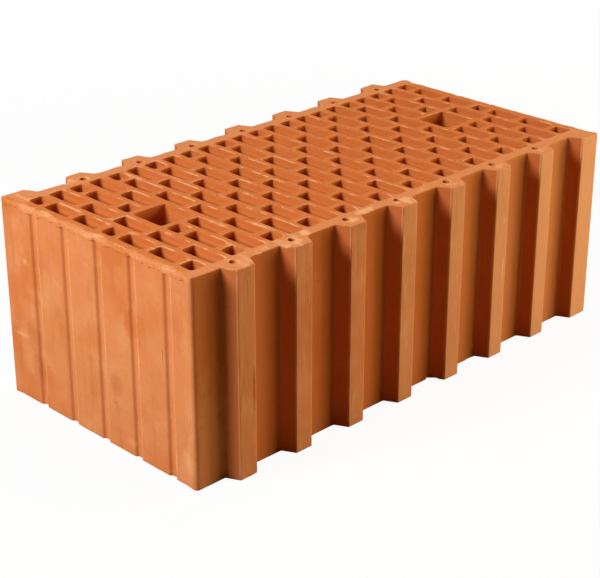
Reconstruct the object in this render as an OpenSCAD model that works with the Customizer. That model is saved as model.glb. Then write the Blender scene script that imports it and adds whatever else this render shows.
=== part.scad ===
// Large hollow clay brick with tongues along both long sides, one extruded and fired piece.
// Millimetres. The brick lies on its bed face, centred on the origin, with Z = 0 at the floor.
// X runs along the length, -Y is the side whose tongues start 31.5 mm from the -X end.

/* [Block] */

// Length from end face to end face
block_l = 510; // [380:1:560]
// Laying width, from the groove floor of one side to the tongue tips of the other
lay_w = 250; // [200:1:300]
// Height between the two bed faces
block_h = 190; // [65:1:250]
// Radius of the upright corners beside the end recesses
corner_r = 4; // [2:0.5:8]

/* [Hole pattern] */

// Thickness of the outer walls, end faces and groove floors to the nearest slots
wall_t = 12; // [10:0.5:20]
// Thickness of the webs between slots, both ways
web_t = 6.4; // [5:0.1:10]
// Narrowest slot wanted, sets how many columns fit along the length
slot_w_min = 14; // [10:0.5:24]
// Shortest full slot wanted, sets how many slots fit in a column
slot_l_min = 34; // [26:0.5:60]
// Corner radius of the slots and grip holes
slot_r = 2.5; // [1:0.1:4]
// Column where each grip hole starts, counted from the nearest end
grip_col = 3; // [3:2:7]

/* [Tongues] */

// Distance between neighbouring tongues of one side
tongue_pitch = 64; // [56:0.5:80]
// Width of a tongue at its root
tongue_root = 31; // [26:0.5:34]
// Width of a tongue at its tip
tongue_tip = 18.5; // [14:0.5:22]
// Depth of a tongue from root to tip
tongue_d = 12.5; // [8:0.5:16]
// Radius of the tip edges
tip_r = 1.5; // [0.5:0.1:3]
// Diameter of the round core hole in each whole tongue
core_d = 6.6; // [4:0.1:9]
// Core hole centre, measured in from the tongue tip
core_in = 15.5; // [12:0.5:17]

/* [End grooves] */

// Width of a groove at the end face
groove_w = 9; // [6:0.5:14]
// Width of a groove at its floor
groove_floor = 5; // [2:0.5:5.5]
// Depth of a groove
groove_d = 2.3; // [1:0.1:4]

/* [Hidden] */

$fn = 48;

root_w = lay_w - tongue_d;
half_l = block_l / 2;
half_root = root_w / 2;

// Greatest odd number of slots of at least size s that fit in a run of length a
function odd_count(a, s) = 2 * floor((floor((a + web_t) / (s + web_t)) - 1) / 2) + 1;

run_x = block_l - 2 * wall_t;
run_y = root_w - 2 * wall_t;
cols = odd_count(run_x, slot_w_min);
rows = odd_count(run_y, slot_l_min);
mid = (cols - 1) / 2;
slot_w = (run_x - (cols - 1) * web_t) / cols;
slot_l = (run_y - (rows - 1) * web_t) / rows;
pitch_x = slot_w + web_t;
pitch_y = slot_l + web_t;
short_l = (slot_l - web_t) / 2;
side_l = (run_y - 3 * short_l - (rows + 1) * web_t) / (rows - 1);

// Columns are counted 0 to cols - 1; the two columns of a grip hole are g and g + 1 from each end
g = grip_col - 1;
function from_end(c) = min(c, cols - 1 - c);
function col_x(c) = (c - mid) * pitch_x;

// Slots of one column as [centre, length] pairs along Y
function full_column() = [for (j = [0:rows - 1]) [(j - (rows - 1) / 2) * pitch_y, slot_l]];
function shifted_column() = concat(
    [for (s = [-1, 1]) [s * (run_y - short_l) / 2, short_l]],
    [for (j = [0:rows - 2]) [(j - (rows - 2) / 2) * pitch_y, slot_l]]
);
function end_column() = concat(
    [for (s = [-1, 0, 1]) [s * (run_y - short_l) / 2, short_l]],
    [for (s = [-1, 1], j = [0:(rows - 3) / 2])
        [s * (short_l / 2 + web_t + side_l / 2 + j * (side_l + web_t)), side_l]]
);

// A slot that would run into a grip hole is left out, or keeps the part clear of it
grip_clear = slot_l / 2 + web_t;
function low(s) = abs(s[0]) - s[1] / 2;
function high(s) = abs(s[0]) + s[1] / 2;
function cut_slot(s) = low(s) >= grip_clear - 0.01
    ? s
    : [sign(s[0]) * (high(s) + grip_clear) / 2, high(s) - grip_clear];
function beside_grip(list) = [for (s = list) if (high(s) > grip_clear + 5) cut_slot(s)];

function plain_column(c) = from_end(c) == 0
    ? end_column()
    : (c % 2 == 1 ? full_column() : shifted_column());
function column(c) = from_end(c) == g || from_end(c) == g + 1
    ? beside_grip(plain_column(c))
    : plain_column(c);

// Tongues of the front side stand a quarter pitch off centre, so two bricks interlock
function tongue_x(k) = (k - 0.25) * tongue_pitch;
edge_gap = 8 + tongue_root / 2;
first_k = ceil((edge_gap - half_l) / tongue_pitch + 0.25);
last_k = floor((half_l - edge_gap) / tongue_pitch + 0.25);
end_x = tongue_x(last_k + 1);
has_end = end_x - tongue_tip / 2 < half_l - 8;

// Tangent lengths of the rounded tip edges
flank_x = (tongue_root - tongue_tip) / 2;
flank_len = norm([flank_x, tongue_d]);
tip_t = tip_r * tan(atan2(tongue_d, flank_x) / 2);
tip_u = tongue_tip / 2 - tip_t;
flank_u = tongue_tip / 2 + tip_t * flank_x / flank_len;
flank_v = tongue_d * (1 - tip_t / flank_len);

// Opening of width w and length l with rounded corners
module rounded(w, l) {
    square([w - 2 * slot_r, l], center = true);
    square([w, l - 2 * slot_r], center = true);
    for (i = [-1, 1], j = [-1, 1])
        translate([i * (w / 2 - slot_r), j * (l / 2 - slot_r)])
            circle(slot_r);
}

// All slots and the two grip holes
module slots() {
    for (c = [0:cols - 1])
        for (s = column(c))
            translate([col_x(c), s[0]])
                rounded(slot_w, s[1]);
    for (i = [-1, 1])
        translate([i * (mid - g - 0.5) * pitch_x, 0])
            rounded(2 * slot_w + web_t, slot_l);
}

// Cut that rounds a square corner; the corner is the origin, the clay lies at -X and -Y of it
module corner_cut(r) {
    difference() {
        translate([-r, -r])
            square(r + 1);
        translate([-r, -r])
            circle(r);
    }
}

// Cut that rounds the +X tip edge of a tongue centred on the origin, its root line on the X axis
module tip_cut() {
    difference() {
        polygon([
            [tip_u, tongue_d],
            [tip_u, tongue_d + 1],
            [flank_u, tongue_d + 1],
            [flank_u, flank_v]
        ]);
        translate([tip_u, tongue_d - tip_r])
            circle(tip_r);
    }
}

// Groove between two tongues, centred on the Y axis, its floor on the X axis
module groove() {
    floor_u = (tongue_pitch - tongue_root) / 2;
    mouth_u = (tongue_pitch - tongue_tip) / 2;
    polygon([
        [-floor_u, 0],
        [floor_u, 0],
        [mouth_u, tongue_d],
        [mouth_u, tongue_d + 1],
        [-mouth_u, tongue_d + 1],
        [-mouth_u, tongue_d]
    ]);
    for (i = [0, 1])
        mirror([i, 0])
            translate([-tongue_pitch / 2, 0])
                tip_cut();
}

// Recess from an end face to the nearest whole tongue, whose centre is at u
module end_recess(u) {
    polygon([
        [-half_l - 1, 0],
        [u - tongue_root / 2, 0],
        [u - tongue_tip / 2, tongue_d],
        [u - tongue_tip / 2, tongue_d + 1],
        [-half_l - 1, tongue_d + 1]
    ]);
    translate([u, 0])
        mirror([1, 0])
            tip_cut();
    translate([-half_l, 0])
        mirror([1, 0])
            corner_cut(corner_r);
}

// Everything cut from the front side to leave its tongues; the back is this turned half round
module side_cuts() {
    translate([0, -half_root])
        mirror([0, 1]) {
            for (k = [first_k:last_k - (has_end ? 0 : 1)])
                translate([tongue_x(k) + tongue_pitch / 2, 0])
                    groove();
            end_recess(tongue_x(first_k));
            if (has_end)
                translate([half_l, tongue_d])
                    corner_cut(tip_r);
            else
                mirror([1, 0])
                    end_recess(-tongue_x(last_k));
        }
}

// Core holes of the front side
module core_row() {
    for (k = [first_k:last_k])
        translate([tongue_x(k), core_in - half_root - tongue_d])
            circle(d = core_d);
}

// Shallow upright grooves of the +X end face, in line with the webs of the shifted columns
module end_grooves() {
    for (j = [0:rows - 1])
        translate([half_l, (j - (rows - 1) / 2) * pitch_y])
            polygon([
                [1, -groove_w / 2],
                [0, -groove_w / 2],
                [-groove_d, -groove_floor / 2],
                [-groove_d, groove_floor / 2],
                [0, groove_w / 2],
                [1, groove_w / 2]
            ]);
}

// Section of the brick, the same at every height
module section() {
    difference() {
        square([block_l, lay_w + tongue_d], center = true);
        slots();
        for (turn = [0, 180])
            rotate(turn) {
                side_cuts();
                core_row();
                end_grooves();
            }
    }
}

// The whole brick: one piece of fired clay
module brick() {
    color([0.80, 0.45, 0.25])
        linear_extrude(height = block_h)
            section();
}

brick();
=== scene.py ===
"""A hollow clay brick with tongued sides: the fired skin over the CAD frame, and a plain studio."""

import math
import random

import bpy
import numpy as np
from bpy.props import FloatProperty, FloatVectorProperty, IntProperty, PointerProperty
from bpy.types import Operator, Panel, PropertyGroup
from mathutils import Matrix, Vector, kdtree, noise
from mathutils.geometry import delaunay_2d_cdt


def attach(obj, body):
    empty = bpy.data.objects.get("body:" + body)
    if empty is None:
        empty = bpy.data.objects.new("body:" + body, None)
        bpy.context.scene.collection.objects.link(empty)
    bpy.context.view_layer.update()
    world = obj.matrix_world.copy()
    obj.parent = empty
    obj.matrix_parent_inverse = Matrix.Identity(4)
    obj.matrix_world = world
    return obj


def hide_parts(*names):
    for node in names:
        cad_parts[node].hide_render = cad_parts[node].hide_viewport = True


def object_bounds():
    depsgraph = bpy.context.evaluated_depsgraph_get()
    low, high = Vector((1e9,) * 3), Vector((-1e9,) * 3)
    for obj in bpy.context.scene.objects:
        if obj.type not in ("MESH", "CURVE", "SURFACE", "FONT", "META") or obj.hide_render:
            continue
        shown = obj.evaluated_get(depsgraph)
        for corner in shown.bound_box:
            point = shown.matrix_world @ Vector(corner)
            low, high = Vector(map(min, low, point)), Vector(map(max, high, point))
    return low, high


bl_info = {
    "name": "Clay Brick",
    "version": (1, 0, 0),
    "blender": (4, 5, 0),
    "location": "3D View > Sidebar > Clay Brick",
    "description": "Builds a fired, wire-cut clay brick over its CAD frame, and a studio to look at it",
    "category": "Object",
}

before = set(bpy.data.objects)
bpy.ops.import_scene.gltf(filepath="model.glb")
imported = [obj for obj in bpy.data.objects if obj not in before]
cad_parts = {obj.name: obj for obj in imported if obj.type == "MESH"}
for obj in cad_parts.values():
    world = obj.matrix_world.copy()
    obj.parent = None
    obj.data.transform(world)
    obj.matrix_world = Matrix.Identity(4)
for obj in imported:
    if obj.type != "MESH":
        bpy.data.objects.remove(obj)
CAD_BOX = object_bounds()
BED = CAD_BOX[0].z
TOP = CAD_BOX[1].z
MM = 0.001

# planes of the section: the end faces, the tips of the tongues and the floors of their grooves
END_FACE = CAD_BOX[1].x
TONGUE_TIP = CAD_BOX[1].y
GROOVE_FLOOR = TONGUE_TIP - 12.5 * MM
# a little more than the depth of the upright grooves in the end faces
DEEPEST_GROOVE = 2.5 * MM

# the cut mark of a wire-cut bed face; it is 1 on the walls of the holes and 0 on the outer walls
CUT_FACE = 0.8
# spread of the small turns of the die's cores, in radians
CORE_TURN = 0.006
# shortest and longest step between points round a hole, and steps over the top and the lower bed face
HOLE_STEPS = (0.75 * MM, 5.6 * MM)
TOP_STEP = 2.9 * MM
BED_STEP = 5.5 * MM
# millimetres under the top of the plain rows of points in the walls of the holes and in the outer walls
HOLE_DEPTHS = (8.5, 14, 30)
WALL_DEPTHS = (10, 18, 32, 52, 74, 96, 118, 140, 160, 176)

# flakes off the top of the near end: place across it and depth, in millimetres
END_FLAKES = ((-100, 0.8), (-60, 0.7), (31, 0.8))
# how many small flakes are broken off the bed edges
SMALL_FLAKES = 46
# rubbed patches of the top: middle and half size in millimetres, strength
RUBS = (
    ((-125, -114), (9, 8), 0.95),
    ((-54, -114), (18, 7), 0.95),
    ((-12, -123), (14, 10), 0.9),
    ((-80, -122), (13, 7), 0.75),
    ((-144, -123), (12, 7), 0.75),
    ((-170, -115), (20, 6), 0.6),
    ((48, -124), (10, 8), 0.65),
    ((112, -124), (10, 8), 0.65),
    ((176, -124), (10, 8), 0.65),
    ((18, -114), (14, 6), 0.6),
)
# single marks of the near end and the front: place and half size in millimetres, colour, strength
MARKS = (
    ((117, -131, 87), (1.6, 4, 19), "scuff", 0.8),
    ((116, -131, 137), (2.4, 4, 6), "scuff", 0.4),
    ((-201, -131, 81), (2.2, 4, 26), "stain", 0.75),
    # painted light: warm bounce at the foot of the near groove
    ((-238, -119, 30), (26, 9, 95), "haze", 0.55),
    ((-255, -18, 61), (5, 12, 17), "stain", 0.4),
    ((-255, -37, 126), (5, 8, 20), "deep", 0.7),
    ((-255, -108, 25), (5, 9, 16), "scuff", 0.35),
    ((-255, -36, 12), (5, 17, 7), "haze", 0.7),
    ((-255, 116, 62), (5, 13, 3), "scuff", 0.4),
    ((-255, 103, 136), (5, 3, 4), "scuff", 0.5),
)

# lamps: name, direction from the brick, distance and width in metres, tint
LAMPS = (
    ("key", (-0.86, 0.135, 0.54), 2.0, 0.65, (1, 1, 1)),
    ("top", (0.45, 0.15, 1.00), 1.9, 0.7, (1, 1, 1)),
    ("side", (1.40, -0.70, 0.10), 2.2, 0.8, (1, 0.97, 0.98)),
    ("fill", (1.05, -0.95, 0.62), 1.9, 1.0, (1, 0.84, 0.41)),
    ("back", (0.40, 1.00, 0.08), 2.0, 0.8, (1, 1, 1)),
)
# half the side of the floor in metres, its tones as the brick and as the camera see it, and the room's tint
FLOOR_HALF = 6.0
FLOOR_TONES = ((0.28, 0.215, 0.12), (0.9, 0.9, 0.9))
ROOM_TINT = (1, 0.8, 0.5)
# angle between two faces over which the edge between them looks sharp
SHARP_ANGLE = math.radians(38)


def paint(red, green, blue):
    """A colour as the screen shows it, 0 to 255, in the linear values that Blender mixes."""
    return tuple(((c / 255 + 0.055) / 1.055) ** 2.4 for c in (red, green, blue))


# Settings


class BrickSkin(PropertyGroup):
    """Sizes of what firing, cutting and handling leave on the brick."""

    rim_round: FloatProperty(
        name="Rim rounding",
        description="How far the cut rims of holes and walls are rounded",
        default=0.55 * MM,
        min=0.1 * MM,
        max=0.9 * MM,
        unit="LENGTH",
    )
    corner_soft: FloatProperty(
        name="Upright edges",
        description="How far back the softening of an upright edge starts",
        default=1.3 * MM,
        min=0.5 * MM,
        max=2 * MM,
        unit="LENGTH",
    )
    wander: FloatProperty(
        name="Slot wander",
        description="How far the die's cores let a slot stand off its place",
        default=0.3 * MM,
        min=0,
        max=0.6 * MM,
        unit="LENGTH",
    )
    wave: FloatProperty(
        name="Wall wave",
        description="Depth of the slow waves in the outer walls",
        default=0.3 * MM,
        min=0,
        max=0.6 * MM,
        unit="LENGTH",
    )
    relief: FloatProperty(
        name="Cut relief",
        description="How uneven the cutting wire leaves the bed faces",
        default=0.5 * MM,
        min=0,
        max=1 * MM,
        unit="LENGTH",
    )
    lip: FloatProperty(
        name="Wire lip",
        description="Height of the ragged lip that the wire leaves on the slot rims",
        default=0.55 * MM,
        min=0,
        max=1 * MM,
        unit="LENGTH",
    )
    drape: FloatProperty(
        name="End lip",
        description="How far the lip smeared over the top of an end face stands off the face",
        default=1.0 * MM,
        min=0,
        max=1.5 * MM,
        unit="LENGTH",
    )
    reach: FloatProperty(
        name="End lip reach",
        description="How far that lip hangs down the end face",
        default=4.7 * MM,
        min=3 * MM,
        max=7 * MM,
        unit="LENGTH",
    )
    ridge: FloatProperty(
        name="End lip ridge",
        description="How far that lip stands up over the cut face",
        default=0.4 * MM,
        min=0,
        max=0.5 * MM,
        unit="LENGTH",
    )
    burr: FloatProperty(
        name="Rim burr",
        description="Width of the pale clay that the wire pushes up beside a slot",
        default=1.2 * MM,
        min=0.5 * MM,
        max=1.6 * MM,
        unit="LENGTH",
    )
    drag: FloatProperty(
        name="Drag line",
        description="Depth of the line that the wire leaves round the inside of each slot",
        default=0.14 * MM,
        min=0,
        max=0.6 * MM,
        unit="LENGTH",
    )
    end_roll: FloatProperty(
        name="End roll",
        description="How far the smeared lip rolls in over the top of an end face",
        default=4.2 * MM,
        min=0.5 * MM,
        max=5 * MM,
        unit="LENGTH",
    )
    grain_step: FloatProperty(
        name="Point spacing",
        description="Longest step between points along an outer wall",
        default=2.4 * MM,
        min=1.5 * MM,
        max=6 * MM,
        unit="LENGTH",
    )
    seed: IntProperty(
        name="Seed",
        description="Chooses another brick of the same kind",
        default=11,
        min=1,
    )


class BrickColours(PropertyGroup):
    """Colours of the fired clay."""

    clay: FloatVectorProperty(
        name="Clay",
        description="Most of the fired clay",
        default=paint(226, 141, 87),
        min=0,
        max=1,
        subtype="COLOR",
    )
    # the deep colour also serves as painted shade in the grooves between the tongues
    deep: FloatVectorProperty(
        name="Deep patches",
        description="Hotter, redder patches",
        default=paint(212, 116, 56),
        min=0,
        max=1,
        subtype="COLOR",
    )
    # the haze also serves as painted light on the tips, toward the far end and at the foot of the near
    # groove
    haze: FloatVectorProperty(
        name="Pale haze",
        description="Pinkish bloom on the outer walls",
        default=paint(234, 157, 105),
        min=0,
        max=1,
        subtype="COLOR",
    )
    # the scuff colour also serves as painted highlight on the rims, edges and end grooves that face the
    # lamps, and as painted light on the far tips
    scuff: FloatVectorProperty(
        name="Scuffs",
        description="Dry clay where a rim is torn or rubbed",
        default=paint(255, 188, 134),
        min=0,
        max=1,
        subtype="COLOR",
    )
    speck: FloatVectorProperty(
        name="Specks",
        description="Small burnt grains",
        default=paint(150, 72, 36),
        min=0,
        max=1,
        subtype="COLOR",
    )
    # the stain colour also serves as painted shade on the flanks of the tongues
    stain: FloatVectorProperty(
        name="Stains",
        description="Brown smears and scratches on the outer walls",
        default=paint(188, 96, 48),
        min=0,
        max=1,
        subtype="COLOR",
    )
    # painted shade: this colour darkens the walls deep in the slots and one flank of each end groove
    core: FloatVectorProperty(
        name="Cores",
        description="Walls deep in the slots, darker from the firing",
        default=paint(118, 46, 16),
        min=0,
        max=1,
        subtype="COLOR",
    )


class StudioLook(PropertyGroup):
    """Camera and lamps."""

    eye: FloatVectorProperty(
        name="Camera place",
        description="Where the camera stands",
        default=(-0.9812, -0.9728, 0.6826),
        subtype="XYZ",
        unit="LENGTH",
    )
    gaze: FloatVectorProperty(
        name="Camera direction",
        description="Where the camera looks",
        default=(0.64143, 0.6489, -0.40925),
        subtype="DIRECTION",
    )
    lens: FloatProperty(
        name="Lens",
        description="Focal length for a 36 mm wide picture",
        default=95.9,
        unit="CAMERA",
    )
    key_power: FloatProperty(
        name="Key lamp",
        description="Power of the low lamp that shines on the near end and into the slots",
        default=36,
        unit="POWER",
    )
    top_power: FloatProperty(
        name="Top lamp",
        description="Power of the lamp over the brick",
        default=9.5,
        unit="POWER",
    )
    side_power: FloatProperty(
        name="Side lamp",
        description="Power of the lamp that grazes the tongues of the front",
        default=30,
        unit="POWER",
    )
    fill_power: FloatProperty(
        name="Fill lamp",
        description="Power of the soft warm lamp at the front",
        default=18.5,
        unit="POWER",
    )
    back_power: FloatProperty(
        name="Back lamp",
        description="Power of the low lamp that shines on the back",
        default=10,
        unit="POWER",
    )
    ambient: FloatProperty(
        name="Room light",
        description="Strength of the even light from all round",
        default=0.002,
        min=0,
        max=1,
    )


# Section of the brick


def waver(x, y, z, size, kind):
    """Smooth noise from -1 to 1 with swells about `size` across; `kind` picks another field."""
    return noise.noise(
        Vector((x / size + 7.31 * kind, y / size - 3.17 * kind, z / size + 1.73 * kind))
    )


def swells(plan, size, kind, z=0):
    """That noise at each point of a plan, all at one height."""
    return np.array([waver(x, y, z, size, kind) for x, y in plan])


def ease(value, low, high):
    """0 below low, 1 above high, smooth between; takes a number or an array."""
    t = np.clip((value - low) / (high - low), 0, 1)
    return t * t * (3 - 2 * t)


def end_depth(x):
    """How far inside the nearer end face a place along the brick lies."""
    return END_FACE - np.abs(x)


def trace_loops(node, level):
    """Loops round the flat CAD face at a height, clay on the left of each: the outline, then the holes."""
    place = [tuple(round(c, 6) for c in v.co) for v in node.data.vertices]
    sides = set()
    for face in node.data.polygons:
        ring = [place[i] for i in face.vertices]
        if all(abs(p[2] - level) < 1e-5 for p in ring):
            sides.update(zip(ring, ring[1:] + ring[:1]))
    follow = {a: b for a, b in sides if (b, a) not in sides}
    loops = []
    while follow:
        start = min(follow)
        loop, here = [start], follow.pop(start)
        while here != start:
            loop.append(here)
            here = follow.pop(here)
        loops.append(np.array([p[:2] for p in loop]))
    loops.sort(key=lambda loop: -np.ptp(loop[:, 0]))
    return loops


def soften(loop, reach):
    """Turns each sharp corner into a short curve that starts `reach` before it."""
    softened = []
    for i, p in enumerate(loop):
        u, v = loop[i - 1] - p, loop[(i + 1) % len(loop)] - p
        far_u, far_v = np.hypot(*u), np.hypot(*v)
        # a bend of less than about 35 degrees stays as it is
        if np.dot(u, v) < -0.82 * far_u * far_v:
            softened.append(p)
            continue
        r = min(reach, 0.42 * far_u, 0.42 * far_v)
        a, b = p + u / far_u * r, p + v / far_v * r
        softened += [(1 - t) ** 2 * a + 2 * t * (1 - t) * p + t * t * b for t in (0, 0.33, 0.67, 1)]
    return np.array(softened)


def thin(loop, step):
    """Leaves out points of a loop that follow the last kept one too closely."""
    kept = [loop[0]]
    for p in loop[1:]:
        if np.hypot(*(p - kept[-1])) > step and np.hypot(*(p - loop[0])) > 0.6 * step:
            kept.append(p)
    return np.array(kept)


def divide(loop, step, end_step=None):
    """Adds points so that no side of the loop is longer than step, or end_step on the end faces."""
    divided = []
    for p, q in zip(loop, np.roll(loop, -1, axis=0)):
        on_end = end_depth((p[0] + q[0]) / 2) < DEEPEST_GROOVE
        longest = end_step if end_step and on_end else step
        parts = max(1, math.ceil(np.hypot(*(q - p)) / longest - 0.05))
        divided += [p + (q - p) * i / parts for i in range(parts)]
    return np.array(divided)


def outward(loop):
    """Unit normals of the loop's points, away from the clay."""
    along = np.roll(loop, -1, axis=0) - np.roll(loop, 1, axis=0)
    turned = np.stack([along[:, 1], -along[:, 0]], axis=1)
    return turned / np.hypot(turned[:, 0], turned[:, 1])[:, None]


def wandered(loop, skin, number):
    """A hole as the die left it: a little off its place, turned, and with uneven sides."""
    dice = random.Random(skin.seed * 1000 + number)
    middle = loop.mean(axis=0)
    turn = dice.gauss(0, CORE_TURN)
    away = loop - middle
    away = away @ np.array([[math.cos(turn), math.sin(turn)], [-math.sin(turn), math.cos(turn)]])
    shift = np.array([dice.uniform(-1, 1), dice.uniform(-1, 1)]) * skin.wander
    moved = middle + shift + away
    # some cores are worn round at their corners
    for _ in range(dice.choice((0, 0, 0, 1, 1))):
        moved = 0.5 * moved + 0.25 * (np.roll(moved, 1, axis=0) + np.roll(moved, -1, axis=0))
    push = skin.wander * swells(moved, 13 * MM, number % 17)
    return moved + outward(moved) * push[:, None]


def crossings(starts, ends, y):
    """Where sides, from their starts to their ends, cross a line along the brick."""
    over = (starts[:, 1] > y) != (ends[:, 1] > y)
    a, b = starts[over], ends[over]
    return a[:, 0] + (y - a[:, 1]) / (b[:, 1] - a[:, 1]) * (b[:, 0] - a[:, 0])


def in_loop(point, loop):
    """True if the point lies inside the closed loop."""
    x, y = point
    cross = crossings(loop, np.roll(loop, -1, axis=0), y)
    return np.count_nonzero(cross > x) % 2 == 1


# Skin of the brick


class Skin:
    """Points, faces and surface marks of the brick while it is put together."""

    def __init__(self):
        self.rows, self.faces = [], []
        self.marks = {"rim": [], "core": [], "cut": []}
        self.count = 0

    def row(self, plan, heights, rim, core, cut):
        """Adds points and gives the number of the first; the rim mark, the painted shade and the cut mark
        run from 0 to 1.
        """
        first, size = self.count, len(plan)
        self.rows.append(np.column_stack([plan, np.broadcast_to(heights, size)]))
        for name, mark in (("rim", rim), ("core", core), ("cut", cut)):
            self.marks[name].append(np.broadcast_to(np.asarray(mark, float), size))
        self.count += size
        return first

    def wall(self, rows, size):
        """Joins the rows of a wall from the top down, the clay behind it; gives its two rims."""
        for upper, lower in zip(rows, rows[1:]):
            for i in range(size):
                j = (i + 1) % size
                self.faces.append((lower + i, lower + j, upper + j, upper + i))
        return (rows[0], size), (rows[-1], size)

    def cap(self, rings, inner, top):
        """Closes a bed face between its rings with triangles; inner numbers the points inside it."""
        points = np.concatenate(self.rows)
        owner, numbers, edges = [], [], []
        for k, (first, size) in enumerate(rings):
            base = len(numbers)
            numbers += range(first, first + size)
            owner += [k] * size
            edges += [(base + i, base + (i + 1) % size) for i in range(size)]
        numbers += inner
        owner += [-1] * len(inner)
        flat = [Vector(points[n][:2]) for n in numbers]
        made, _, faces, came, _, _ = delaunay_2d_cdt(flat, edges, [], 0, 1e-8, True)
        if len(made) != len(flat) or any(len(c) != 1 for c in came):
            raise RuntimeError(
                "the rims of a bed face cross each other; lower the rim rounding or the wander"
            )
        loops = [points[first : first + size, :2] for first, size in rings]
        for face in faces:
            corner = [came[i][0] for i in face]
            tri = [numbers[i] for i in corner]
            owners = {owner[i] for i in corner}
            # a triangle between points of one ring may lie outside the clay
            if len(owners) == 1 and -1 not in owners:
                k = owners.pop()
                if in_loop(points[tri, :2].mean(axis=0), loops[k]) != (k == 0):
                    continue
            self.faces.append(tuple(tri if top else reversed(tri)))


def cut_level(plan, skin):
    """Heights of the wire-cut top, apart from its lips, at the points of a plan."""
    swell = 0.5 + 0.35 * swells(plan, 55 * MM, 2) + 0.15 * swells(plan, 16 * MM, 3)
    return TOP - skin.lip - skin.relief * swell


def bed_level(plan, skin):
    """Heights of the lower bed face at the points of a plan."""
    return skin.relief * 0.3 * (0.6 + 0.6 * swells(plan, 60 * MM, 4))


def rim_rounding(plan, skin, kind):
    """How far the rims are rounded at the points of a plan."""
    return skin.rim_round * (1 + 0.45 * swells(plan, 8 * MM, kind))


def hole_wall(body, loop, skin, number):
    """The rows of one hole from its top rim to its lower rim; gives both rims."""
    away = outward(loop)
    level, lower = cut_level(loop, skin), bed_level(loop, skin)
    # the wire leaves its lip on the rims that face the near end and the front, and rounds the others
    facing = np.clip(1.2 * np.maximum(-away[:, 0], -0.7 * away[:, 1]), 0, 1)
    rounding = rim_rounding(loop, skin, 6) * (1.5 - 0.5 * facing)
    torn = swells(loop, 19 * MM, 5) + 0.55 * swells(loop, 5 * MM, 18)
    raised = (0.1 + 0.9 * ease(torn, -0.2, 0.42)) * (0.1 + 0.9 * facing)
    lip = skin.lip * raised
    # pale dry clay of the wire's burr, partly painted highlight on the rims that face the near end and the
    # front; a little less pale toward the far end
    pale = raised * (1 - 0.15 * ease(loop[:, 0].mean(), -0.2, 0.05))
    # painted shade: the walls grow darker the deeper they are for the hole's width, the short ones sooner
    short = away[:, 1] ** 2
    wide = np.ptp(loop[:, 0]) / MM

    def depth_shade(depth):
        """How far painted shade darkens the walls at a depth in millimetres."""
        sooner, later = [ease(depth, low * wide, high * wide) for low, high in ((0.1, 0.75), (0.6, 1.7))]
        return short * sooner + (1 - short) * later

    def at(inset, heights, rim, core, cut=1):
        """A row set back into the clay from the hole's edge."""
        return body.row(loop - away * np.reshape(inset, (-1, 1)), heights, rim, core, cut)

    drag = (4.4 + 1.1 * swells(loop, 20 * MM, number % 13)) * MM
    crest = 0.1 + 0.9 * pale
    rows = [
        at(rounding + skin.burr, level + lip * 0.15, 0.1 + 0.55 * pale, 0, CUT_FACE),
        at(rounding * (1 - 0.45 * raised), level + lip, crest, 0, CUT_FACE),
        at(rounding * 0.28 - lip * 0.35, level + lip * 0.5 - rounding * 0.25, crest, 0, CUT_FACE),
        at(0, level - rounding * 1.1, 0.4 * pale, depth_shade(1)),
        at(0, level - drag + 0.45 * MM, 0, depth_shade(4)),
        at(skin.drag, level - drag, 0, depth_shade(4.4)),
        at(0, level - drag - 0.45 * MM, 0, depth_shade(4.9)),
    ]
    rows += [at(0, TOP - depth * MM, 0, depth_shade(depth)) for depth in HOLE_DEPTHS]
    rows += [
        at(0, 16 * MM, 0, depth_shade(16)),
        at(0, lower + rounding, 0.7, 0.1),
        at(rounding, lower, 1, 0, CUT_FACE),
    ]
    return body.wall(rows, len(loop))


def end_lap(loop):
    """Where the wire's smeared lip lies on the end faces, from 0 to 1, and their groove depth there."""
    depth = end_depth(loop[:, 0])
    lap = np.zeros(len(loop))
    for side in (-1, 1):
        end = (depth < DEEPEST_GROOVE) & (loop[:, 0] * side > 0)
        flat = loop[end & (depth < 0.1 * MM), 1]
        inside = np.minimum(loop[:, 1] - flat.min(), flat.max() - loop[:, 1])
        lap[end] = ease(inside[end], 1 * MM, 9 * MM)
    return lap, np.where(lap > 0, depth, 0)


class EndLip:
    """The lip that the wire smears over the top of the end faces, at each point of the outline."""

    def __init__(self, loop, skin):
        self.lap, groove = end_lap(loop)
        # it closes the top of the end grooves, in places only partly
        self.fill = groove * self.lap * (0.35 + 0.65 * ease(swells(loop, 45 * MM, 16), -0.4, 0.1))
        # it hangs down unevenly, rolls in over the rim and stands up in places
        ragged = 0.35 * swells(loop, 26 * MM, 10) + 0.3 * swells(loop, 7 * MM, 11)
        self.reach = skin.reach * (1 + ragged + 0.16 * swells(loop, 3 * MM, 19))
        rolled = 1 + 0.6 * swells(loop, 22 * MM, 13) + 0.15 * swells(loop, 5 * MM, 20)
        self.roll = skin.end_roll * rolled.clip(0.3, 1.5)
        self.drop = 1.7 * MM * (1 + 0.35 * swells(loop, 9 * MM, 23))
        self.ridge = skin.ridge * (0.5 + 0.8 * swells(loop, 12 * MM, 14)).clip(0, 1)
        self.pale = self.lap * (0.5 + 0.4 * swells(loop, 24 * MM, 17)).clip(0.15, 0.62)

    def over(self, plain, lipped):
        """A value of the plain rim, turned into the lip's own where the lip lies."""
        return plain * (1 - self.lap) + lipped * self.lap


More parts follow.
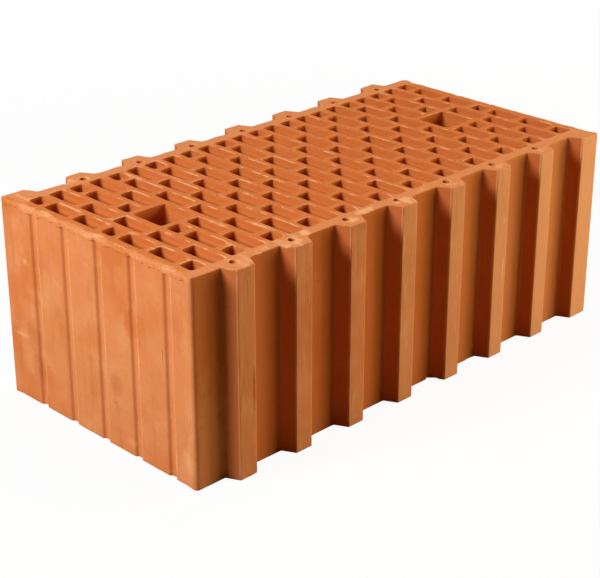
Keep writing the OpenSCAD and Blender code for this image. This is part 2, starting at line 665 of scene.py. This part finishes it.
def worn_and_highlit_edges(loop):
    """How pale the upright edges are painted, from 0 to 1: one edge of each tongue and of each end groove,
    the one turned toward the lamps; partly wear, partly painted highlight.
    """
    before, after = loop - np.roll(loop, 2, axis=0), np.roll(loop, -2, axis=0) - loop
    turn = before[:, 0] * after[:, 1] - before[:, 1] * after[:, 0]
    turn /= np.hypot(before[:, 0], before[:, 1]) * np.hypot(after[:, 0], after[:, 1])
    away = outward(loop)
    worn = np.clip(turn / 0.5, 0, 1) * np.clip(-4 * away[:, 0] * away[:, 1], 0, 1)
    # the edges of the end grooves are painted less pale than those of the tongues
    worn[end_depth(loop[:, 0]) < DEEPEST_GROOVE] *= 0.8
    for step, share in ((1, 0.8), (2, 0.45)):
        worn = np.maximum(worn, share * np.maximum(np.roll(worn, step), np.roll(worn, -step)))
    return worn


def outer_wall(body, loop, skin):
    """The rows of the outline from the top rim to the lower rim; gives both rims."""
    end = EndLip(loop, skin)
    rim_r = rim_rounding(loop, skin, 7)
    level, lower = cut_level(loop, skin), bed_level(loop, skin)
    raised = ease(swells(loop, 12 * MM, 8), 0.05, 0.55)
    lip, ridge = end.over(0.7 * skin.lip * raised, 0), end.over(0, end.ridge)
    rounding, drop = end.over(rim_r, end.roll), end.over(rim_r, end.drop)
    # partly wear, partly painted highlight: the pale upright edges turned toward the lamps
    edge = worn_and_highlit_edges(loop)
    # the end lip lies square to the end faces
    plain = outward(loop)
    square = np.column_stack([np.sign(loop[:, 0]), np.zeros(len(loop))])
    away = plain * (1 - end.lap[:, None]) + square * end.lap[:, None]
    away /= np.hypot(away[:, 0], away[:, 1])[:, None]
    # painted shade darkens one flank of each end groove, and a painted highlight pales the other
    flank = plain[:, 1] * square[:, 0] * (end.lap > 0)
    groove_shade = 0.28 * np.clip(flank, 0, 1)
    groove_highlight = 0.95 * np.clip(-1.3 * flank, 0, 1)

    def wave(z):
        """How far the slow waves of the wall stand inside the CAD outline at a height."""
        slow, quick = swells(loop, 48 * MM, 9, z * 0.5), swells(loop, 9 * MM, 12, z * 0.2)
        return skin.wave * (0.5 + 0.4 * slow + 0.1 * quick)

    def at(inset, heights, cover, rim, cut=0):
        """A row set back from the outline; cover says how far the lip still lies on the end faces."""
        back = inset + end.lap * skin.drape * (1 - cover)
        plan = loop - away * back[:, None] + square * (end.fill * cover)[:, None]
        rim = np.maximum(rim, end.pale * cover + groove_highlight * (1 - cover))
        return body.row(plan, heights, rim, groove_shade * (1 - cover), cut * (1 - 0.7 * end.lap))

    crown, foot = wave(TOP), wave(0)
    shoulder = crown + rounding * (0.5 + 0.3 * end.lap)
    brow = crown + rounding * (0.12 + 0.1 * end.lap)
    rows = [
        at(crown + rounding * (1 - 0.4 * raised), level + lip, 1, 0.1 + 0.5 * raised, CUT_FACE),
        at(shoulder, level + lip * 0.6 + ridge - drop * 0.1, 1, 0.2 + 0.5 * raised, 0.4),
        at(brow, level + ridge * 0.5 - drop * 0.52, 1, 0.2 + 0.4 * raised, 0.2),
        at(crown, level - drop, 1, 0.25 * raised + 0.6 * edge),
        at(crown, level - end.reach * 0.62, 1, 0.8 * edge),
    ]
    # the lower border of the end lip
    for below, cover in ((-0.35, 0.95), (0.05, 0.5), (0.5, 0)):
        rows.append(at(crown, level - end.reach - below * MM, cover, 0.8 * edge))
    for depth in WALL_DEPTHS:
        z = TOP - depth * MM
        rows.append(at(wave(z), z, 0, edge * (0.9 + 0.4 * swells(loop, 22 * MM, 15, z))))
    rows += [
        at(foot, 3.2 * MM, 0, 0.8 * edge),
        at(foot, lower + rim_r, 0, 0.5),
        at(foot + rim_r * 0.3, lower + rim_r * 0.3, 0, 0.8),
        at(foot + rim_r, lower, 0, 0.8, CUT_FACE),
    ]
    return body.wall(rows, len(loop))


def face_points(body, rings, skin, step, level):
    """Scatters points over a bed face, clear of its rims, at heights from level; gives their numbers."""
    points = np.concatenate(body.rows)
    loops = [points[first : first + size, :2] for first, size in rings]
    starts = np.concatenate(loops)
    ends = np.concatenate([np.roll(loop, -1, axis=0) for loop in loops])
    fine = np.concatenate([divide(loop, 0.8 * MM) for loop in loops])
    tree = kdtree.KDTree(len(fine))
    for i, (x, y) in enumerate(fine):
        tree.insert((x, y, 0), i)
    tree.balance()
    dice = random.Random(skin.seed)
    least, margin, loose = 1.1 * MM, 1.2 * MM, 0.5
    plan, rim = [], []
    for y in np.arange(CAD_BOX[0].y + step / 2, CAD_BOX[1].y, step):
        cross = np.sort(crossings(starts, ends, y))
        for left, right in zip(cross[::2], cross[1::2]):
            for x in np.arange(left + margin, right - margin, step):
                spot = (x + dice.uniform(-loose, loose) * MM, y + dice.uniform(-loose, loose) * MM)
                gap = tree.find((*spot, 0))[2]
                if gap > least:
                    plan.append(spot)
                    rim.append(0.3 * math.exp(-gap / least))
    first = body.row(np.array(plan), level(plan, skin), rim, 0, CUT_FACE)
    return list(range(first, first + len(plan)))


def nick(points, marks, place, facing, depth, radius, kind):
    """Breaks a flat flake off an edge at a place: what stands over the flake's plane goes back to it."""
    facing = np.array(facing) / np.linalg.norm(facing)
    off = points - np.array(place)
    near = np.linalg.norm(off, axis=1) < radius
    for i in np.nonzero(near)[0]:
        x, y, z = points[i]
        fade = 1 - np.linalg.norm(off[i]) / radius
        over = off[i] @ facing + depth * min(1, 2.2 * fade) * (1 + 0.5 * waver(x, y, z, 3 * MM, kind))
        if over > 0:
            points[i] -= facing * over
            marks[i] = max(marks[i], min(1, over / (0.25 * MM)))


def flakes(points, marks, outline, seed):
    """Breaks flakes off the top of the near end, and small ones off both bed edges."""
    dice = random.Random(seed)
    for y, depth in END_FLAKES:
        place = (CAD_BOX[0].x, y * MM, TOP - 0.6 * MM)
        nick(points, marks, place, (-0.8, dice.uniform(-0.3, 0.3), 0.7), depth * MM, 7 * MM, 21)
    ways = outward(outline)
    for number in range(SMALL_FLAKES):
        i = dice.randrange(len(outline))
        up = dice.random() < 0.55
        place = (*outline[i], TOP - 0.7 * MM if up else 0.1 * MM)
        facing = (*ways[i], 0.9 if up else -0.9)
        depth, radius = dice.uniform(0.25, 0.8) * MM, dice.uniform(3, 6) * MM
        nick(points, marks, place, facing, depth, radius, 22 + number % 5)


def rubbed(points, marks):
    """Marks the rubbed patches of the top, with ragged borders."""
    top = points[:, 2] > TOP - 2.2 * MM
    plan = points[top, :2]
    ragged = 0.8 * swells(plan, 11 * MM, 33) + 0.7 * swells(plan, 4.5 * MM, 34)
    for middle, half, strength in RUBS:
        off = (plan - np.array(middle) * MM) / (np.array(half) * MM)
        far = np.hypot(off[:, 0], off[:, 1])
        marks[top] = np.maximum(marks[top], strength * np.clip(1.25 - far + ragged, 0, 1))


def smeared(points, marks):
    """Marks pale smears of the cut top, more of them toward the near end."""
    top = points[:, 2] > TOP - 1.6 * MM
    plan = points[top, :2]
    share = 1 - 0.6 * ease(plan[:, 0], -0.2, 0.05)
    # the bands run along the webs
    bands = swells(plan * (2, 0.7), 16 * MM, 31)
    marks[top] = np.maximum(marks[top], 0.64 * share * ease(bands, 0.08, 0.45))


def fired_body(skin):
    """The brick's mesh with its marks, made from the section of the CAD node."""
    loops = trace_loops(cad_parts["brick"], TOP)
    body = Skin()
    outline = divide(soften(loops[0], skin.corner_soft), skin.grain_step, 0.6 * skin.grain_step)
    rims = [outer_wall(body, outline, skin)]
    for number, loop in enumerate(loops[1:], 1):
        hole = wandered(divide(thin(loop, HOLE_STEPS[0]), HOLE_STEPS[1]), skin, number)
        rims.append(hole_wall(body, hole, skin, number))
    tops, beds = zip(*rims)
    on_top = face_points(body, tops, skin, TOP_STEP, cut_level)
    below = face_points(body, beds, skin, BED_STEP, bed_level)
    body.cap(tops, on_top, True)
    body.cap(beds, below, False)

    points = np.concatenate(body.rows)
    scuff = np.zeros(len(points))
    flakes(points, scuff, outline, skin.seed + 5)
    rubbed(points, scuff)
    smeared(points, scuff)
    points[:, 2] -= points[:, 2].min() - BED
    marks = {name: np.concatenate(rows) for name, rows in body.marks.items()}
    return points, body.faces, {**marks, "scuff": scuff}


# Finishes


class Wire:
    """One socket of a node; sums and products of wires add Math nodes."""

    def __init__(self, sheet, socket):
        self.sheet, self.socket = sheet, socket

    def _math(self, operation, first, second):
        return self.sheet.node("ShaderNodeMath", {"operation": operation}, {0: first, 1: second})

    def __add__(self, other):
        return self._math("ADD", self, other)

    def __sub__(self, other):
        return self._math("SUBTRACT", self, other)

    def __rsub__(self, other):
        return self._math("SUBTRACT", other, self)

    def __mul__(self, other):
        return self._math("MULTIPLY", self, other)

    __radd__ = __add__
    __rmul__ = __mul__


class NodeSheet:
    """Adds nodes to one tree."""

    def __init__(self, tree):
        self.tree = tree
        tree.nodes.clear()

    def node(self, kind, settings=None, sockets=None, output=0):
        """Adds a node: its settings first, then the values or wires of its sockets. Gives one output."""
        made = self.tree.nodes.new(kind)
        for name, value in (settings or {}).items():
            setattr(made, name, value)
        for name, value in (sockets or {}).items():
            if isinstance(value, Wire):
                self.tree.links.new(value.socket, made.inputs[name])
            else:
                made.inputs[name].default_value = value
        return Wire(self, made.outputs[output]) if len(made.outputs) else None

    def blend(self, first, second, share):
        """A colour between two; share 0 is the first."""
        first, second = [(*c, 1) if isinstance(c, tuple) else c for c in (first, second)]
        return self.node("ShaderNodeMix", {"data_type": "RGBA"}, {0: share, 6: first, 7: second}, 2)

    def slope(self, value, low, high):
        """0 at low, 1 at high, smooth between; it falls where low is the greater."""
        return self.node(
            "ShaderNodeMapRange",
            {"interpolation_type": "SMOOTHSTEP"},
            {"Value": value, "From Min": low, "From Max": high},
        )

    def beyond(self, value, plane, low, high):
        """Slope between two millimetre distances past a plane, and past its mirror image."""
        low, high = [plane + far * MM for far in (low, high)]
        return self.slope(value * value, low * low, high * high)

    def cloud(self, vector, scale, detail, roughness):
        """Noise over a vector; scale is swells a metre."""
        return self.node(
            "ShaderNodeTexNoise",
            {},
            {"Vector": vector, "Scale": scale, "Detail": detail, "Roughness": roughness},
        )

    def vector(self, operation, first, second):
        """Two vectors put together axis by axis."""
        return self.node("ShaderNodeVectorMath", {"operation": operation}, {0: first, 1: second})

    def length(self, vector):
        """The length of a vector."""
        return self.node("ShaderNodeVectorMath", {"operation": "LENGTH"}, {0: vector}, "Value")


class ClaySheet(NodeSheet):
    """The nodes of the fired clay: layers of colour, the mesh's marks, and noises that layers share."""

    def __init__(self, tree, colours):
        super().__init__(tree)
        self.colours = colours
        self.colour = tuple(colours.clay)
        self.spot = self.node("ShaderNodeTexCoord", output="Object")
        self.x, self.y = [self.node("ShaderNodeSeparateXYZ", {}, {0: self.spot}, axis) for axis in "XY"]
        self.rim, self.core, self.cut, self.scuff = [
            self.node("ShaderNodeAttribute", {"attribute_name": name}, output="Fac")
            for name in ("rim", "core", "cut", "scuff")
        ]
        # the bed faces without the smooth walls of the holes
        self.face = self.slope(self.cut, 0.95, 0.84) * self.slope(self.cut, 0.4, 0.7)
        self.bloom = self.cloud(self.spot, 24, 4, 0.6)
        self.mottle = self.cloud(self.spot, 95, 3, 0.6)
        self.torn = self.cloud(self.spot, 130, 3, 0.6)
        self.grit = self.cloud(self.spot, 240, 3, 0.65)
        self.crumb = self.cloud(self.spot, 420, 2, 0.6)
        self.grain = self.cloud(self.spot, 850, 2, 0.6)
        self.streak = self.cloud(self.drawn(0.035), 130, 3, 0.6)

    def layer(self, name, share):
        """Lays a colour over those before it; share 0 leaves them as they are."""
        self.colour = self.blend(self.colour, tuple(getattr(self.colours, name)), share)

    def drawn(self, share):
        """The place with its height made less, so that noise over it is drawn out upright."""
        return self.vector("MULTIPLY", self.spot, (1, 1, share))

    def patch(self, place, half):
        """1 in the middle of a round patch with a ragged border, 0 outside; sizes in millimetres."""
        place, half = [tuple(c * MM for c in sizes) for sizes in (place, half)]
        off = self.vector("DIVIDE", self.vector("SUBTRACT", self.spot, place), half)
        return self.slope(self.length(off) + self.torn * 0.9, 1.45, 0.75)

    def dots(self, scale, small, large):
        """Scattered dots: 1 nearer to their middles than small, 0 further than large."""
        cells = self.node("ShaderNodeTexVoronoi", {}, {"Vector": self.spot, "Scale": scale}, "Distance")
        return 1 - self.slope(cells, small, large)


def kiln_tones(clay):
    """Patches and bloom from the kiln, and fine streaks from the die."""
    clay.layer("deep", clay.slope(clay.cloud(clay.spot, 13, 3, 0.55), 0.42, 0.68) * 0.75)
    clay.layer("haze", clay.slope(clay.bloom, 0.46, 0.72) * (1 - clay.core * 0.7) * 0.8)
    clay.layer("deep", clay.slope(clay.streak, 0.5, 0.75) * 0.3)
    hair = clay.cloud(clay.drawn(0.035), 520, 2, 0.6)
    clay.layer("haze", clay.slope(hair, 0.55, 0.8) * 0.16)


def brown_smears(clay):
    """Brown smears, scratches and mottles; gives the scratches."""
    smear = clay.cloud(clay.drawn(0.3), 42, 5, 0.62)
    clay.layer("stain", clay.slope(smear, 0.56, 0.74) * (1 - clay.core) * 0.34)
    line = clay.cloud(clay.drawn(0.09), 330, 1, 0.4)
    scratch = clay.slope(line, 0.7, 0.76) * clay.slope(clay.bloom, 0.5, 0.6) * (1 - clay.core)
    clay.layer("stain", scratch * 0.5)
    clay.layer("deep", clay.slope(clay.mottle, 0.5, 0.8) * 0.35)
    return scratch


def tongue_tones(clay):
    """Tips of the tongues, paler than the grooves between them, and hazier toward the far end: painted
    shade in the grooves and on the flanks, painted light on the tips and toward the far end, with brown
    stains and pale streaks on the tips.
    """
    outer = (1 - clay.cut) * (1 - clay.beyond(clay.x, END_FACE, -2.2, -0.7))
    side = clay.beyond(clay.y, GROOVE_FLOOR, -2.25, -0.95)
    flank = clay.beyond(clay.y, GROOVE_FLOOR, 0.65, 1.85)
    tip = clay.beyond(clay.y, TONGUE_TIP, -2.05, -0.85)
    # painted shade: the groove floors and the flanks of the tongues darker, the flanks more so
    clay.layer("deep", (side - tip) * outer * 0.75)
    clay.layer("stain", (flank - tip) * outer * 0.3)
    # painted light: the tips paler than the grooves
    clay.layer("haze", tip * outer * 0.22)
    brown = clay.slope(clay.cloud(clay.drawn(0.09), 150, 4, 0.65), 0.54, 0.68)
    clay.layer("stain", brown * tip * outer * 0.3)
    pale = clay.slope(clay.cloud(clay.drawn(0.09), 400, 3, 0.6), 0.56, 0.72)
    clay.layer("scuff", pale * tip * outer * 0.35)
    # painted light: the groove floors and the tips paler toward the far end, the tips paler still
    clay.layer("haze", clay.slope(clay.x, -0.05, 0.26) * (side - flank + tip) * outer * 0.5)
    clay.layer("scuff", clay.slope(clay.x, -0.15, 0.24) * tip * outer * 0.45)


def single_marks(clay):
    """Marks of the near end and the front, each in its own place; the haze at the foot of the near groove
    is painted light.
    """
    for place, half, name, strength in MARKS:
        clay.layer(name, clay.patch(place, half) * (1 - clay.cut) * strength)


def cut_tones(clay):
    """Bed faces with grains torn out by the wire, hole walls darker inside with painted shade, pale strips
    along the sides.
    """
    clay.layer("deep", clay.slope(clay.cut, 0.1, 0.75) * 0.9)
    clay.layer("stain", clay.slope(clay.grit, 0.55, 0.72) * clay.face * 0.35)
    clay.layer("stain", clay.slope(clay.grain, 0.55, 0.72) * clay.face * 0.3)
    clay.layer("haze", clay.slope(clay.grain, 0.5, 0.3) * clay.face * 0.2)
    # painted shade deep in the slots and on one flank of each end groove
    clay.layer("core", clay.core * 0.9)
    clay.layer("haze", clay.beyond(clay.y, TONGUE_TIP, -33.25, -21.25) * clay.face * 0.5)
    fleck = clay.slope(clay.crumb * 0.6 + clay.grain * 0.4, 0.55, 0.66) * clay.face
    clay.layer("scuff", fleck * 0.3)


def dry_rims(clay):
    """Dry clay on the torn rims and in the rubbed places, with the painted highlights that the rim mark
    carries; gives the rubbed places.
    """
    wear = clay.torn * 0.15 + clay.crumb * 0.25 + clay.grain * 0.1
    # the rim mark brings both torn rims and painted highlights on the rims, edges and end grooves that face
    # the lamps
    clay.layer("scuff", clay.slope(wear + clay.rim * 0.42, 0.4, 0.66) * 0.66)
    worn = clay.slope(wear + clay.scuff * 0.52 + clay.rim * 0.08, 0.45, 0.7)
    worn = worn * (0.82 - clay.slope(clay.crumb, 0.5, 0.62) * 0.4)
    clay.layer("scuff", worn)
    return worn


def burnt_grains(clay, worn):
    """Small burnt grains, and pits in the bed faces; gives the pits."""
    clay.layer("speck", clay.dots(70, 0.04, 0.09) * clay.slope(clay.mottle, 0.52, 0.6) * 0.4)
    pits = clay.dots(190, 0.1, 0.22) * clay.slope(clay.grit, 0.48, 0.6) * clay.face
    clay.layer("speck", pits * (0.45 + worn * 0.3))
    return pits


def fired_clay(colours):
    """The clay's material: its layers of colour, and a fine relief."""
    material = bpy.data.materials.new("fired_clay")
    material.use_nodes = True
    clay = ClaySheet(material.node_tree, colours)
    kiln_tones(clay)
    scratch = brown_smears(clay)
    tongue_tones(clay)
    single_marks(clay)
    cut_tones(clay)
    worn = dry_rims(clay)
    pits = burnt_grains(clay, worn)

    crumbly = clay.crumb * (clay.rim + clay.scuff + clay.face)
    relief = clay.grain * 0.35 + clay.streak * 0.6 + crumbly * 0.7 + clay.mottle * 0.3
    height = relief - scratch * 0.5 - pits * 0.8
    bump = clay.node(
        "ShaderNodeBump", {}, {"Strength": 0.5, "Distance": 0.5 * MM, "Height": height}, "Normal"
    )
    surface = clay.node(
        "ShaderNodeBsdfPrincipled",
        {},
        {
            "Base Color": clay.colour,
            "Roughness": 0.78 + clay.grain * 0.12 + worn * 0.1,
            "Specular IOR Level": 0.08,
            "Normal": bump,
        },
    )
    clay.node("ShaderNodeOutputMaterial", {}, {"Surface": surface})
    return material


def studio_floor():
    """Pale floor that the camera sees nearly white, with the brick's soft shadow."""
    material = bpy.data.materials.new("studio_floor")
    material.use_nodes = True
    sheet = NodeSheet(material.node_tree)
    seen = sheet.node("ShaderNodeLightPath", output="Is Camera Ray")
    away = sheet.length(sheet.node("ShaderNodeTexCoord", output="Object"))
    share = 0.94 + sheet.slope(away, 0.5, 1.6) * 0.06
    # a duller floor lights the brick than the one that the camera sees
    dull, pale = [sheet.node("ShaderNodeBsdfDiffuse", {}, {"Color": (*tone, 1)}) for tone in FLOOR_TONES]
    lit = sheet.node("ShaderNodeMixShader", {}, {0: seen, 1: dull, 2: pale})
    white = sheet.node("ShaderNodeEmission", {}, {"Color": (1, 1, 1, 1), "Strength": 1})
    both = sheet.node("ShaderNodeMixShader", {}, {0: seen * share, 1: lit, 2: white})
    sheet.node("ShaderNodeOutputMaterial", {}, {"Surface": both})
    return material


def studio_room(strength):
    """White where the camera, a gloss or glass looks into it, and a soft even light otherwise."""
    world = bpy.data.worlds.new("studio_room")
    world.use_nodes = True
    sheet = NodeSheet(world.node_tree)
    rays = [
        sheet.node("ShaderNodeLightPath", output=name)
        for name in ("Is Camera Ray", "Is Glossy Ray", "Is Transmission Ray")
    ]
    room = sheet.node("ShaderNodeBackground", {}, {"Color": (*ROOM_TINT, 1), "Strength": strength})
    white = sheet.node("ShaderNodeBackground", {}, {"Color": (1, 1, 1, 1), "Strength": 1})
    shown = sheet.node("ShaderNodeMixShader", {}, {0: rays[0] + rays[1] + rays[2], 1: room, 2: white})
    sheet.node("ShaderNodeOutputWorld", {}, {"Surface": shown})
    return world


# Operators and panel


class CLAYBRICK_OT_fired_brick(Operator):
    """Build the fired brick over its CAD node"""

    bl_idname = "clay_brick.fired_brick"
    bl_label = "Fired brick"

    def execute(self, context):
        scene = context.scene
        points, faces, marks = fired_body(scene.brick_skin)
        mesh = bpy.data.meshes.new("fired_brick")
        mesh.from_pydata(points.tolist(), [], faces)
        if mesh.validate():
            raise RuntimeError("the brick's skin has faulty faces")
        for name, mark in marks.items():
            mesh.attributes.new(name, "FLOAT", "POINT").data.foreach_set("value", mark.astype(np.float32))
        mesh.shade_smooth()
        mesh.set_sharp_from_angle(angle=SHARP_ANGLE)
        mesh.materials.append(fired_clay(scene.brick_colours))
        brick = bpy.data.objects.new("fired_brick", mesh)
        scene.collection.objects.link(brick)
        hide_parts("brick")
        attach(brick, "root")
        return {"FINISHED"}


class CLAYBRICK_OT_studio(Operator):
    """Set up the floor, the room, the lamps and the camera"""

    bl_idname = "clay_brick.studio"
    bl_label = "Studio"

    def execute(self, context):
        scene = context.scene
        look = scene.studio_look
        corners = [
            (x * FLOOR_HALF, y * FLOOR_HALF, BED) for x, y in ((-1, -1), (1, -1), (1, 1), (-1, 1))
        ]
        mesh = bpy.data.meshes.new("studio_floor")
        mesh.from_pydata(corners, [], [(0, 1, 2, 3)])
        mesh.materials.append(studio_floor())
        floor = bpy.data.objects.new("studio_floor", mesh)
        scene.collection.objects.link(floor)
        scene.world = studio_room(look.ambient)

        middle = Vector((0, 0, 0.5 * TOP))
        for name, way, far, wide, tint in LAMPS:
            lamp = bpy.data.lights.new(f"{name}_lamp", "AREA")
            lamp.shape = "DISK"
            lamp.size = wide
            lamp.energy = getattr(look, f"{name}_power")
            lamp.color = tint
            stand = bpy.data.objects.new(f"{name}_lamp", lamp)
            stand.location = middle + Vector(way).normalized() * far
            stand.rotation_euler = Vector(way).to_track_quat("Z", "Y").to_euler()
            scene.collection.objects.link(stand)

        camera = bpy.data.cameras.new("studio_camera")
        camera.sensor_width = 36
        camera.lens = look.lens
        eye = bpy.data.objects.new("studio_camera", camera)
        eye.location = look.eye
        eye.rotation_euler = Vector(look.gaze).to_track_quat("-Z", "Y").to_euler()
        scene.collection.objects.link(eye)
        scene.camera = eye
        scene.view_settings.view_transform = "Standard"
        return {"FINISHED"}


class CLAYBRICK_PT_sidebar(Panel):
    """Sizes, colours and steps of the clay brick"""

    bl_idname = "CLAYBRICK_PT_sidebar"
    bl_label = "Clay Brick"
    bl_space_type = "VIEW_3D"
    bl_region_type = "UI"
    bl_category = "Clay Brick"

    def draw(self, context):
        for operator, group in (
            (CLAYBRICK_OT_fired_brick, ("brick_skin", "brick_colours")),
            (CLAYBRICK_OT_studio, ("studio_look",)),
        ):
            box = self.layout.box()
            for name in group:
                settings = getattr(context.scene, name)
                for prop in settings.__annotations__:
                    box.prop(settings, prop)
            box.operator(operator.bl_idname)


CLASSES = (
    BrickSkin,
    BrickColours,
    StudioLook,
    CLAYBRICK_OT_fired_brick,
    CLAYBRICK_OT_studio,
    CLAYBRICK_PT_sidebar,
)


def register():
    for item in CLASSES:
        bpy.utils.register_class(item)
    bpy.types.Scene.brick_skin = PointerProperty(type=BrickSkin)
    bpy.types.Scene.brick_colours = PointerProperty(type=BrickColours)
    bpy.types.Scene.studio_look = PointerProperty(type=StudioLook)


def unregister():
    del bpy.types.Scene.studio_look
    del bpy.types.Scene.brick_colours
    del bpy.types.Scene.brick_skin
    for item in reversed(CLASSES):
        bpy.utils.unregister_class(item)


def main():
    register()
    bpy.ops.clay_brick.fired_brick()
    bpy.ops.clay_brick.studio()


if __name__ == "__main__":
    main()
